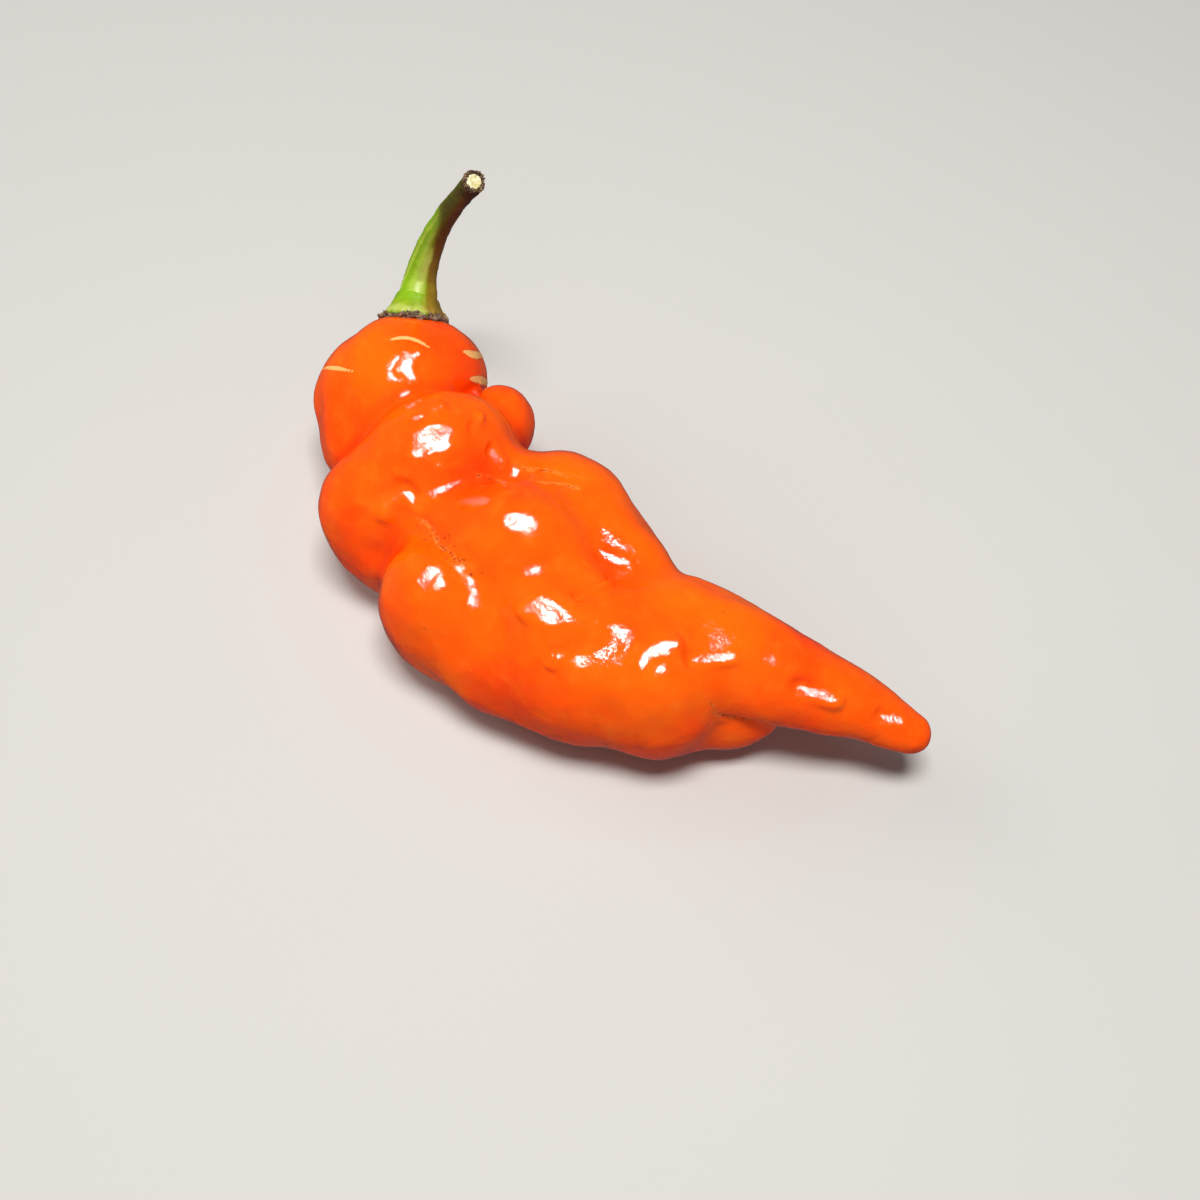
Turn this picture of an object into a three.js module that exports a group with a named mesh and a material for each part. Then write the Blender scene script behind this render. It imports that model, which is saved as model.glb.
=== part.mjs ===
// A chilli pepper as picked: a swollen, lumpy pod lying on its side, with its calyx and its curved stalk.
// Millimetres, +Z up. The pod rests on Z = 0, +X runs from the stalk end to the tip, and the origin lies
// under the middle of the whole pepper.

import * as THREE from "three";

// ---- Driving dimensions -------------------------------------------------------------------------

// The pod's core: a chain of points along its middle, from the stalk end to the tip.
const CORE = [
  { at: [-34.5, 7.5, 13.5], radius: 4.5 },
  { at: [-27.0, 1.5, 13.0], radius: 6.5 },
  { at: [-16.5, -4.0, 13.0], radius: 7.5 },
  { at: [-2.5, -5.0, 12.5], radius: 8.0 },
  { at: [8.5, -3.5, 12.0], radius: 8.0 },
  { at: [15.0, 1.2, 11.5], radius: 8.2 },
  { at: [21.0, 3.7, 12.0], radius: 6.7 },
  { at: [28.5, 6.6, 11.5], radius: 5.1 },
  { at: [35.0, 9.5, 10.0], radius: 3.8 },
  { at: [41.0, 11.0, 9.0], radius: 2.4 },
];

// The bulges that swell out of the core come in families, in the order in which they are blended. Each
// bulge is an ellipsoid with a centre, three half sizes, a turn about Z in degrees and the blend with which
// it joins its own family. Then the family joins the pod. A narrow blend leaves a sharp crease.
const FAMILIES = [
  { blend: 0.9, bulges: [{ name: "belly end", at: [20.5, -0.3, 6.2], half: [8.8, 5.0, 6.4], turn: 30, blend: 0 }] },
  {
    blend: 2.6,
    bulges: [
      { name: "waist", at: [-14.0, 3.0, 11.0], half: [8.0, 6.0, 7.5], turn: 0, blend: 0 },
      { name: "middle", at: [3.0, -8.0, 12.3], half: [8.0, 5.5, 9.6], turn: 20, blend: 3.5 },
      { name: "near side", at: [-9.6, -12.3, 10.0], half: [7.6, 7.4, 10.3], turn: 0, blend: 2.6 },
      { name: "near gap", at: [-0.8, -12.3, 8.2], half: [6.6, 6.4, 7.8], turn: 0, blend: 4.5 },
      { name: "belly", at: [7.8, -8.2, 9.7], half: [10.0, 7.9, 10.0], turn: 20, blend: 4.0 },
      { name: "far side", at: [-5.0, 5.6, 10.2], half: [10.0, 7.6, 10.4], turn: -15, blend: 2.4 },
      { name: "shoulder", at: [4.2, 4.6, 11.0], half: [6.5, 4.8, 7.5], turn: 10, blend: 4.5 },
      { name: "swell", at: [16.5, -4.3, 10.2], half: [7.2, 7.1, 10.2], turn: 10, blend: 3.0 },
      { name: "dome", at: [-5.4, -3.0, 14.7], half: [8.4, 7.6, 9.8], turn: 10, blend: 2.4 },
    ],
  },
  {
    blend: 1.9,
    bulges: [
      { name: "left lobe", at: [-24.2, -8.7, 11.3], half: [6.9, 6.9, 8.6], turn: 0, blend: 0 },
      { name: "left foot", at: [-20.2, -8.2, 7.5], half: [6.2, 6.2, 8.3], turn: 0, blend: 4.0 },
      { name: "far foot", at: [-21.5, 5.0, 7.5], half: [7.0, 6.0, 8.2], turn: 0, blend: 4.0 },
      { name: "collar ridge", at: [-21.5, -0.5, 15.0], half: [7.5, 10.0, 9.3], turn: -15, blend: 3.0 },
    ],
  },
  {
    blend: 1.1,
    bulges: [
      { name: "head", at: [-33.8, 5.4, 13.3], half: [8.6, 9.6, 9.2], turn: 0, blend: 0 },
      { name: "head right", at: [-32.0, 11.8, 11.0], half: [4.5, 4.5, 6.0], turn: 0, blend: 5.0 },
      { name: "head left", at: [-38.5, 1.5, 11.0], half: [4.0, 4.6, 6.0], turn: 0, blend: 4.0 },
      { name: "left shoulder", at: [-32.6, -2.4, 10.0], half: [5.0, 5.0, 6.0], turn: 0, blend: 4.0 },
    ],
  },
  { blend: 0.9, bulges: [{ name: "right knob", at: [-21.4, 10.6, 12.2], half: [4.2, 4.2, 5.6], turn: 0, blend: 0 }] },
];

// Slow ripples make the skin a little uneven: a height, and how fast each ripple runs along X, Y and Z.
const RIPPLE_HEIGHT = 0.04;
const RIPPLES = [
  { run: [0.9, 0.5, 0.7], start: 0.0 },
  { run: [-0.6, 1.0, 0.3], start: 1.3 },
  { run: [0.4, -0.5, 1.1], start: 2.1 },
];

// The calyx sits on the stalk end: the point where its middle meets the pod, and the way it faces.
const CALYX_AT = new THREE.Vector3(-38.3, 13.0, 17.5);
const CALYX_AXIS = new THREE.Vector3(-0.4, 0.77, 0.49).normalize();
const CALYX_RADIUS = 3.9;
const CALYX_HEIGHT = 2.1;
const NECK_RADIUS = 2.6;
const SEAT_RADIUS = CALYX_RADIUS - 0.35;

// The calyx's rings, from the middle of its underside over its lip to the middle of its flat top. A ring has
// a radius, a height, and how much of the pod's shape it follows: all of it at 1 and none at 0.
const CALYX_RINGS = [
  { radius: 0.9, height: 0, follow: 1 },
  { radius: 1.8, height: 0, follow: 1 },
  { radius: 2.7, height: 0, follow: 1 },
  { radius: SEAT_RADIUS, height: 0, follow: 1 },
  { radius: CALYX_RADIUS, height: 0.35, follow: 1 },
  { radius: CALYX_RADIUS, height: 0.85, follow: 0.8 },
  { radius: SEAT_RADIUS, height: 1.3, follow: 0.5 },
  { radius: NECK_RADIUS + 0.25, height: 1.75, follow: 0.2 },
  { radius: NECK_RADIUS, height: CALYX_HEIGHT, follow: 0 },
  { radius: 2.0, height: CALYX_HEIGHT, follow: 0 },
  { radius: 1.0, height: CALYX_HEIGHT, follow: 0 },
];

// The stalk leaves the calyx along its axis and bends upwards to a cut end.
const STALK_PATH = [
  [-40.1, 16.6, 20.8],
  [-39.3, 18.4, 26.0],
  [-36.9, 19.1, 31.5],
  [-33.5, 18.7, 37.0],
  [-30.8, 17.9, 41.1],
];
const STALK_RADII = [2.5, 2.1, 1.8, 1.6, 1.45, 1.34, 1.26, 1.2, 1.16, 1.18, 1.26];
const STALK_RIDGES = 5;
const STALK_RIDGE_HEIGHT = 0.03;

// Pieces that meet keep a small gap.
const GAP = 0.3;

// How finely each piece is divided.
const POD_ROWS = 60;
const POD_CAP_ROWS = 11;
const POD_SIDES = 56;
const CALYX_SIDES = 40;
const STALK_ROWS = 34;
const STALK_SIDES = 26;

// How the skin is found: rays start outside and walk in, a share of the distance left at each step. The
// pod's slope is measured over a small step, and its points are then moved along it onto the skin.
const POD_REACH = 30;
const CALYX_REACH = 8;
const WALK_STEPS = 60;
const WALK_SHARE = 0.85;
const SLOPE_STEP = 0.02;
const LEAST_SLOPE = 0.2;
const SKIN_STEPS = 2;
const EVENING_PASSES = 6;
const FLAT_BELOW = 0.02;

// ---- The pod's surface as a distance: negative inside, positive outside -------------------------

const CORE_STEPS = 3 * (CORE.length - 1);
const corePath = new THREE.CatmullRomCurve3(CORE.map(({ at }) => new THREE.Vector3(...at)), false, "catmullrom", 0.5);
const coreRadii = new THREE.SplineCurve(CORE.map(({ radius }, i) => new THREE.Vector2(i, radius)));
const coreLinks = [];
for (let i = 0; i <= CORE_STEPS; i += 1) {
  const t = i / CORE_STEPS;
  coreLinks.push({ at: corePath.getPoint(t), radius: coreRadii.getPoint(t).y });
}

// The distance to a chain of round cones along the core.
function coreDistance(point) {
  const toPoint = new THREE.Vector3();
  const link = new THREE.Vector3();
  let nearest = Infinity;
  for (let i = 0; i < CORE_STEPS; i += 1) {
    const a = coreLinks[i];
    const b = coreLinks[i + 1];
    toPoint.subVectors(point, a.at);
    link.subVectors(b.at, a.at);
    const along = THREE.MathUtils.clamp(toPoint.dot(link) / link.lengthSq(), 0, 1);
    const radius = THREE.MathUtils.lerp(a.radius, b.radius, along);
    nearest = Math.min(nearest, toPoint.addScaledVector(link, -along).length() - radius);
  }
  return nearest;
}

// The distance to one bulge, measured in the ellipsoid's own axes.
function bulgeDistance(point, { at, half, turn }) {
  const angle = THREE.MathUtils.degToRad(turn);
  const dx = point.x - at[0];
  const dy = point.y - at[1];
  const x = dx * Math.cos(angle) + dy * Math.sin(angle);
  const y = dy * Math.cos(angle) - dx * Math.sin(angle);
  const z = point.z - at[2];
  const reach = Math.hypot(x / half[0], y / half[1], z / half[2]);
  const slope = Math.hypot(x / half[0] ** 2, y / half[1] ** 2, z / half[2] ** 2);
  return (reach * (reach - 1)) / Math.max(slope, 1e-6);
}

// The smaller of two distances, rounded over where they differ by less than the blend.
function blended(a, b, blend) {
  const overlap = Math.max(blend - Math.abs(a - b), 0) / blend;
  return Math.min(a, b) - overlap * overlap * blend * 0.25;
}

function ripple({ x, y, z }) {
  let height = 0;
  for (const { run, start } of RIPPLES) {
    height += Math.sin(run[0] * x + run[1] * y + run[2] * z + start);
  }
  return RIPPLE_HEIGHT * height;
}

// The whole pod, flattened where it rests on Z = 0.
function podDistance(point) {
  let distance = coreDistance(point);
  for (const { blend, bulges } of FAMILIES) {
    let family = bulgeDistance(point, bulges[0]);
    for (const bulge of bulges.slice(1)) {
      family = blended(family, bulgeDistance(point, bulge), bulge.blend);
    }
    distance = blended(distance, family, blend);
  }
  return Math.max(distance - ripple(point), -point.z);
}

function podSlope(point) {
  const slope = new THREE.Vector3();
  for (const axis of ["x", "y", "z"]) {
    const ahead = point.clone();
    const behind = point.clone();
    ahead[axis] += SLOPE_STEP;
    behind[axis] -= SLOPE_STEP;
    slope[axis] = (podDistance(ahead) - podDistance(behind)) / (2 * SLOPE_STEP);
  }
  return slope;
}

// Walks inwards along a ray until it is the given distance from the pod.
function walkIn(from, direction, reach, stopAt) {
  let along = reach;
  const point = new THREE.Vector3();
  for (let step = 0; step < WALK_STEPS; step += 1) {
    point.copy(from).addScaledVector(direction, along);
    along -= WALK_SHARE * (podDistance(point) - stopAt);
  }
  return point.copy(from).addScaledVector(direction, along);
}

// ---- Shared mesh work ---------------------------------------------------------------------------

// Joins rings of points into a closed skin, with one point closing each end. The rings run
// anticlockwise seen from the last ring, so the faces point outwards.
function closedSkin(rings, first, last) {
  const sides = rings[0].length;
  const points = [first, ...rings.flat(), last];
  const faces = [];
  const index = (ring, side) => 1 + ring * sides + (side % sides);
  for (let side = 0; side < sides; side += 1) {
    faces.push(0, index(0, side + 1), index(0, side));
    faces.push(points.length - 1, index(rings.length - 1, side), index(rings.length - 1, side + 1));
    for (let ring = 0; ring < rings.length - 1; ring += 1) {
      const a = index(ring, side);
      const b = index(ring, side + 1);
      const c = index(ring + 1, side + 1);
      const d = index(ring + 1, side);
      faces.push(a, b, c, a, c, d);
    }
  }
  const geometry = new THREE.BufferGeometry().setFromPoints(points);
  geometry.setIndex(faces);
  geometry.computeVertexNormals();
  return geometry;
}

// Two directions square to an axis and to each other.
function squareTo(axis) {
  const side = new THREE.Vector3(0, 0, 1).cross(axis).normalize();
  return { side, up: new THREE.Vector3().crossVectors(axis, side) };
}

// ---- The pieces ---------------------------------------------------------------------------------

// Evens out the pod's grid: each point moves half way to its neighbours' middle, then back to the skin.
function evened(rings) {
  return rings.map((ring, i) => {
    if (i === 0 || i === rings.length - 1) {
      return ring;
    }
    return ring.map((point, j) => {
      const middle = new THREE.Vector3()
        .add(ring[(j + 1) % ring.length])
        .add(ring[(j + ring.length - 1) % ring.length])
        .add(rings[i - 1][j])
        .add(rings[i + 1][j])
        .multiplyScalar(0.25);
      return ontoSkin(point.clone().lerp(middle, 0.5));
    });
  });
}

function ontoSkin(point) {
  for (let step = 0; step < SKIN_STEPS; step += 1) {
    const slope = podSlope(point);
    point.addScaledVector(slope, -podDistance(point) / Math.max(slope.lengthSq(), LEAST_SLOPE));
  }
  if (point.z < FLAT_BELOW) {
    point.z = 0;
  }
  return point;
}

// The pod's rows of rays: a fan round each end of the core, and straight spokes along it.
function podRows() {
  const fan = Array.from({ length: POD_CAP_ROWS }, (_, i) => (90 * (i + 0.5)) / POD_CAP_ROWS);
  const spokes = Array.from({ length: POD_ROWS + 1 }, (_, i) => ({ t: i / POD_ROWS, tilt: 0 }));
  const stalkEnd = fan.map((tilt) => ({ t: 0, tilt: tilt - 90 }));
  const tip = fan.map((tilt) => ({ t: 1, tilt }));
  return [...stalkEnd, ...spokes, ...tip];
}

function pod() {
  let rings = podRows().map(({ t, tilt }) => {
    const middle = corePath.getPoint(t);
    const ahead = corePath.getTangent(t);
    const { side, up } = squareTo(ahead);
    const lean = THREE.MathUtils.degToRad(tilt);
    const ring = [];
    for (let j = 0; j < POD_SIDES; j += 1) {
      const angle = (2 * Math.PI * j) / POD_SIDES;
      const direction = new THREE.Vector3()
        .addScaledVector(side, Math.cos(angle) * Math.cos(lean))
        .addScaledVector(up, Math.sin(angle) * Math.cos(lean))
        .addScaledVector(ahead, Math.sin(lean));
      ring.push(ontoSkin(walkIn(middle, direction, POD_REACH, 0)));
    }
    return ring;
  });
  for (let pass = 0; pass < EVENING_PASSES; pass += 1) {
    rings = evened(rings);
  }

  const endPoint = (t, sign) => {
    const outward = corePath.getTangent(t).multiplyScalar(sign);
    return walkIn(corePath.getPoint(t), outward, POD_REACH, 0);
  };
  return closedSkin(rings, endPoint(0, -1), endPoint(1, 1));
}

// A shallow cup: its underside follows the pod, its lip stands proud and its top is flat for the stalk.
function calyx() {
  const { side, up } = squareTo(CALYX_AXIS);
  const seatHeight = (angle, radius) => {
    const above = CALYX_AT.clone()
      .addScaledVector(side, radius * Math.cos(angle))
      .addScaledVector(up, radius * Math.sin(angle));
    return walkIn(above, CALYX_AXIS, CALYX_REACH, GAP).sub(above).dot(CALYX_AXIS);
  };
  const rings = CALYX_RINGS.map(({ radius, height, follow }) => {
    const ring = [];
    for (let j = 0; j < CALYX_SIDES; j += 1) {
      const angle = (2 * Math.PI * j) / CALYX_SIDES;
      const lift = height + follow * seatHeight(angle, Math.min(radius, SEAT_RADIUS));
      ring.push(
        CALYX_AT.clone()
          .addScaledVector(side, radius * Math.cos(angle))
          .addScaledVector(up, radius * Math.sin(angle))
          .addScaledVector(CALYX_AXIS, lift),
      );
    }
    return ring;
  });
  const seatMiddle = CALYX_AT.clone().addScaledVector(CALYX_AXIS, seatHeight(0, 0));
  const topMiddle = CALYX_AT.clone().addScaledVector(CALYX_AXIS, CALYX_HEIGHT);
  return closedSkin(rings, seatMiddle, topMiddle);
}

// A tapering, faintly ridged stalk, swept along its path with no twist.
function stalk() {
  const foot = CALYX_AT.clone().addScaledVector(CALYX_AXIS, CALYX_HEIGHT + GAP);
  const path = new THREE.CatmullRomCurve3([foot, ...STALK_PATH.map((at) => new THREE.Vector3(...at))]);
  const radii = new THREE.SplineCurve(STALK_RADII.map((radius, i) => new THREE.Vector2(i, radius)));

  const ahead = CALYX_AXIS.clone();
  const { side, up } = squareTo(ahead);
  const rings = [];
  for (let i = 0; i <= STALK_ROWS; i += 1) {
    const t = i / STALK_ROWS;
    const middle = path.getPointAt(t);
    const next = i === 0 ? CALYX_AXIS.clone() : path.getTangentAt(t);
    const turn = new THREE.Quaternion().setFromUnitVectors(ahead, next);
    side.applyQuaternion(turn);
    up.applyQuaternion(turn);
    ahead.copy(next);
    const radius = radii.getPoint(t).y;
    const ring = [];
    for (let j = 0; j < STALK_SIDES; j += 1) {
      const angle = (2 * Math.PI * j) / STALK_SIDES;
      const reach = radius * (1 + STALK_RIDGE_HEIGHT * Math.cos(STALK_RIDGES * angle));
      ring.push(
        middle
          .clone()
          .addScaledVector(side, reach * Math.cos(angle))
          .addScaledVector(up, reach * Math.sin(angle)),
      );
    }
    rings.push(ring);
  }
  return closedSkin(rings, foot, path.getPoint(1));
}

// ---- The pepper ---------------------------------------------------------------------------------

function piece(name, geometry, color, roughness) {
  const material = new THREE.MeshStandardMaterial({ color, roughness, metalness: 0 });
  const mesh = new THREE.Mesh(geometry, material);
  mesh.name = name;
  return mesh;
}

const pepper = new THREE.Group();
pepper.add(piece("pod", pod(), 0xff5a0f, 0.2));
pepper.add(piece("calyx", calyx(), 0x8fae2e, 0.55));
pepper.add(piece("stalk", stalk(), 0x7fa51e, 0.5));

export default pepper;
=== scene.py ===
# %% [markdown]
# # A lumpy chilli pepper
# This lesson builds one ripe chilli pepper: a swollen, glossy pod that lies on its side, a small green
# calyx, and a curved stalk with a cut end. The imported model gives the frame, and every piece below is made
# finer than its plain solid, in the same place. The first step loads that frame and keeps its box.

# %% Load the frame
import math

import bpy
import numpy as np
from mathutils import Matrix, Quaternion, Vector, noise


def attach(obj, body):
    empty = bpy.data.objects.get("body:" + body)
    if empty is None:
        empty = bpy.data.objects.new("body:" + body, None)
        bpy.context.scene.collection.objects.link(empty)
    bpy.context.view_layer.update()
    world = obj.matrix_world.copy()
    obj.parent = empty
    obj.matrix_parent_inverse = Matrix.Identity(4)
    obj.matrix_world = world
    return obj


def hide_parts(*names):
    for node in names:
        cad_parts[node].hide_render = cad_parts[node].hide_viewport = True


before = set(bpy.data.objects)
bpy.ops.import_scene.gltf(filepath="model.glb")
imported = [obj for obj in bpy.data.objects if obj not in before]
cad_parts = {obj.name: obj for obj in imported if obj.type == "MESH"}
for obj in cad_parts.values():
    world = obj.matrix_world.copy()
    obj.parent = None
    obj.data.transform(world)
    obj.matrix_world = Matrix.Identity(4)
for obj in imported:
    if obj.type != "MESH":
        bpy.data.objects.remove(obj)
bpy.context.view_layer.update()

MM = 0.001

# %% [markdown]
# ## The camera, the floor and the light
# The camera stands well back on a 42 mm lens and looks down at 60 degrees, with a slight roll. A pale floor
# fills the view. One small overhead soft box draws the bright highlights. Two weaker fills keep the sides
# readable, and are hidden from glossy surfaces so that they draw no highlights of their own.

# %% Camera
CAMERA_AT = Vector((55.0, -63.7, 153.6)) * MM
CAMERA_AIM = Vector((0.1, 5.0, 0.0)) * MM
CAMERA_ROLL = math.radians(2.5)

scene = bpy.context.scene
camera_data = bpy.data.cameras.new("camera")
camera_data.lens = 42
camera_data.sensor_width = 36
camera_data.clip_start = 0.01
camera = bpy.data.objects.new("camera", camera_data)
camera.location = CAMERA_AT
camera.rotation_mode = "QUATERNION"
facing = (CAMERA_AIM - CAMERA_AT).to_track_quat("-Z", "Y")
camera.rotation_quaternion = facing @ Quaternion((0, 0, 1), CAMERA_ROLL)
scene.collection.objects.link(camera)
scene.camera = camera
print("camera stands", round((CAMERA_AT - CAMERA_AIM).length / MM), "mm from the pepper")

# %% Soft lights and the world
LIGHTS_AIM = (0.0, 0.0, 0.01)

scene.view_settings.view_transform = "Standard"

world = bpy.data.worlds.new("studio")
world.use_nodes = True
world.node_tree.nodes["Background"].inputs["Color"].default_value = (0.93, 0.95, 1.0, 1.0)
world.node_tree.nodes["Background"].inputs["Strength"].default_value = 0.09
scene.world = world


def soft_light(name, at, wide, high, watts, shows_in_gloss=True):
    """A rectangular soft box whose wide side stays level."""
    data = bpy.data.lights.new(name, "AREA")
    data.shape = "RECTANGLE"
    data.size = wide
    data.size_y = high
    data.energy = watts
    light = bpy.data.objects.new(name, data)
    light.location = at
    light.rotation_mode = "QUATERNION"
    light.rotation_quaternion = (Vector(LIGHTS_AIM) - Vector(at)).to_track_quat("-Z", "Y")
    light.visible_glossy = shows_in_gloss
    scene.collection.objects.link(light)
    print(name, watts, "W")


soft_light("overhead box", (0.03, -0.03, 0.5), wide=0.2, high=0.11, watts=3.1)
soft_light("near fill", (0.35, -0.55, 0.45), wide=0.6, high=0.6, watts=0.5, shows_in_gloss=False)
soft_light("left fill", (-0.6, -0.15, 0.35), wide=0.5, high=0.5, watts=2.1, shows_in_gloss=False)

# %% [markdown]
# ## Nodes as Python
# A finish is easier to read as sums and products than as a list of nodes. `Signal` wraps one output
# socket and adds a Math node for each operator. `Finish` wraps a material: its `node` method adds any
# other node, with its settings first and then its sockets.


# %% Signals and finishes
class Signal:
    """One output socket of a tree. Arithmetic on it adds Math nodes."""

    def __init__(self, tree, socket):
        self.tree = tree
        self.socket = socket

    def math(self, operation, first, second=0.5):
        sockets = {0: first, 1: second}
        return self.tree.node("ShaderNodeMath", {"operation": operation}, sockets)

    def __add__(self, other):
        return self.math("ADD", self, other)

    def __sub__(self, other):
        return self.math("SUBTRACT", self, other)

    def __mul__(self, other):
        return self.math("MULTIPLY", self, other)

    def __rsub__(self, other):
        return self.math("SUBTRACT", other, self)

    __radd__ = __add__
    __rmul__ = __mul__

    def most(self, other):
        return self.math("MAXIMUM", self, other)

    def cosine(self):
        return self.math("COSINE", self)

    def rise(self, low, high):
        """0 below low, 1 above high and a smooth step between them."""
        return self.tree.node(
            "ShaderNodeMapRange",
            {"interpolation_type": "SMOOTHSTEP"},
            {"Value": self, "From Min": low, "From Max": high},
        )


class Tree:
    """A node tree, to which one method adds every node."""

    def __init__(self, tree):
        self.tree = tree

    def node(self, kind, settings=None, sockets=None, output=0):
        made = self.tree.nodes.new(kind)
        for name, value in (settings or {}).items():
            if name == "stops":
                ramp = made.color_ramp
                while len(ramp.elements) < len(value):
                    ramp.elements.new(0.5)
                for element, (position, colour) in zip(ramp.elements, value):
                    element.position = position
                    element.color = colour
            else:
                setattr(made, name, value)
        for name, value in (sockets or {}).items():
            if isinstance(value, Signal):
                self.tree.links.new(value.socket, made.inputs[name])
            else:
                made.inputs[name].default_value = value
        return Signal(self, made.outputs[output]) if made.outputs else made


class Finish(Tree):
    """A material with one Principled surface."""

    def __init__(self, name):
        self.material = bpy.data.materials.new(name)
        self.material.use_nodes = True
        super().__init__(self.material.node_tree)
        self.surface = self.tree.nodes["Principled BSDF"]

    def place(self):
        """Object coordinates, counted in millimetres."""
        metres = self.node("ShaderNodeTexCoord", output="Object")
        settings = {"operation": "SCALE"}
        return self.node("ShaderNodeVectorMath", settings, {0: metres, "Scale": 1 / MM})

    def mark(self, name):
        """A number that the mesh carries at each of its points."""
        return self.node("ShaderNodeAttribute", {"attribute_name": name}, output="Fac")

    def cloud(self, place, size, detail=3.0, rough=0.5, warp=0.0):
        """Soft noise from 0 to 1, whose patches are about size millimetres across."""
        sockets = {"Vector": place, "Scale": 1 / size, "Detail": detail}
        sockets |= {"Roughness": rough, "Distortion": warp}
        return self.node("ShaderNodeTexNoise", {}, sockets)

    def cells(self, place, size):
        """The distance to the nearest of many points about size millimetres apart, as a share of size."""
        sockets = {"Vector": place, "Scale": 1 / size}
        return self.node("ShaderNodeTexVoronoi", {}, sockets, "Distance")

    def blend(self, amount, first, second):
        """The first colour at 0, the second at 1 and a mix between them."""
        return self.node("ShaderNodeMix", {"data_type": "RGBA"}, {0: amount, 6: first, 7: second}, output=2)

    def bump(self, height, millimetres, below=None):
        """A normal that is tilted as if the surface rose by that many millimetres where height is 1."""
        sockets = {"Height": height, "Distance": millimetres * MM, "Strength": 1.0}
        if below is not None:
            sockets["Normal"] = below
        return self.node("ShaderNodeBump", {}, sockets)

    def feed(self, **sockets):
        """Sets or links the surface's sockets. A name has _ for each space."""
        for name, value in sockets.items():
            socket = self.surface.inputs[name.replace("_", " ")]
            if isinstance(value, Signal):
                self.tree.links.new(value.socket, socket)
            else:
                socket.default_value = value


def paint(code):
    """A colour from its usual six-digit code, as the linear values that nodes take."""
    channels = [int(code[i : i + 2], 16) / 255 for i in (0, 2, 4)]
    linear = [c / 12.92 if c <= 0.04045 else ((c + 0.055) / 1.055) ** 2.4 for c in channels]
    return (*linear, 1.0)


# %% Floor
FLOOR_SIZE = 3.0
bpy.ops.mesh.primitive_plane_add(size=FLOOR_SIZE)
floor = bpy.context.object
floor.name = "floor"
floor_finish = Finish("pale_floor")
floor_finish.feed(Base_Color=paint("BDBAB5"), Roughness=0.8)
floor.data.materials.append(floor_finish.material)
floor.visible_glossy = False
print("floor", FLOOR_SIZE, "m wide")

# %% [markdown]
# ## The pod's rule
# A ripe pod of this kind swells unevenly, so it looks like a handful of soft balls pressed together along
# a bent core. That is also how it is described here: a chain of round cones along the middle, and
# ellipsoids that are blended into it one after another. A wide blend gives a soft shoulder, and a narrow
# one gives the sharp folds where two bulges press against each other. The plain solid follows the same
# rule, so this finer skin lands in the same place. The rule counts in millimetres.

# %% The core and its bulges
CORE = [
    ((-34.5, 7.5, 13.5), 4.5),
    ((-27.0, 1.5, 13.0), 6.5),
    ((-16.5, -4.0, 13.0), 7.5),
    ((-2.5, -5.0, 12.5), 8.0),
    ((8.5, -3.5, 12.0), 8.0),
    ((15.0, 1.2, 11.5), 8.2),
    ((21.0, 3.7, 12.0), 6.7),
    ((28.5, 6.6, 11.5), 5.1),
    ((35.0, 9.5, 10.0), 3.8),
    ((41.0, 11.0, 9.0), 2.4),
]

# Bulges come in families. A bulge has a centre, three half sizes, a turn about Z in degrees, and the blend
# with which it joins its own family. Then the whole family joins the pod with one blend of its own.
FAMILIES = [
    ("belly end", 0.9, [((20.5, -0.3, 6.2), (8.8, 5.0, 6.4), 30, 0)]),
    (
        "trunk",
        2.6,
        [
            ((-14.0, 3.0, 11.0), (8.0, 6.0, 7.5), 0, 0),
            ((3.0, -8.0, 12.3), (8.0, 5.5, 9.6), 20, 3.5),
            ((-9.6, -12.3, 10.0), (7.6, 7.4, 10.3), 0, 2.6),
            ((-0.8, -12.3, 8.2), (6.6, 6.4, 7.8), 0, 4.5),
            ((7.8, -8.2, 9.7), (10.0, 7.9, 10.0), 20, 4.0),
            ((-5.0, 5.6, 10.2), (10.0, 7.6, 10.4), -15, 2.4),
            ((4.2, 4.6, 11.0), (6.5, 4.8, 7.5), 10, 4.5),
            ((16.5, -4.3, 10.2), (7.2, 7.1, 10.2), 10, 3.0),
            ((-5.4, -3.0, 14.7), (8.4, 7.6, 9.8), 10, 2.4),
        ],
    ),
    (
        "collar",
        1.9,
        [
            ((-24.2, -8.7, 11.3), (6.9, 6.9, 8.6), 0, 0),
            ((-20.2, -8.2, 7.5), (6.2, 6.2, 8.3), 0, 4.0),
            ((-21.5, 5.0, 7.5), (7.0, 6.0, 8.2), 0, 4.0),
            ((-21.5, -0.5, 15.0), (7.5, 10.0, 9.3), -15, 3.0),
        ],
    ),
    (
        "head",
        1.1,
        [
            ((-33.8, 5.4, 13.3), (8.6, 9.6, 9.2), 0, 0),
            ((-32.0, 11.8, 11.0), (4.5, 4.5, 6.0), 0, 5.0),
            ((-38.5, 1.5, 11.0), (4.0, 4.6, 6.0), 0, 4.0),
            ((-32.6, -2.4, 10.0), (5.0, 5.0, 6.0), 0, 4.0),
        ],
    ),
    ("right knob", 0.9, [((-21.4, 10.6, 12.2), (4.2, 4.2, 5.6), 0, 0)]),
]

RIPPLE_HEIGHT = 0.04
LEAST_SLOPE = 0.2
RIPPLES = [((0.9, 0.5, 0.7), 0.0), ((-0.6, 1.0, 0.3), 1.3), ((0.4, -0.5, 1.1), 2.1)]
CORE_LINKS = 10 * (len(CORE) - 1)


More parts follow.
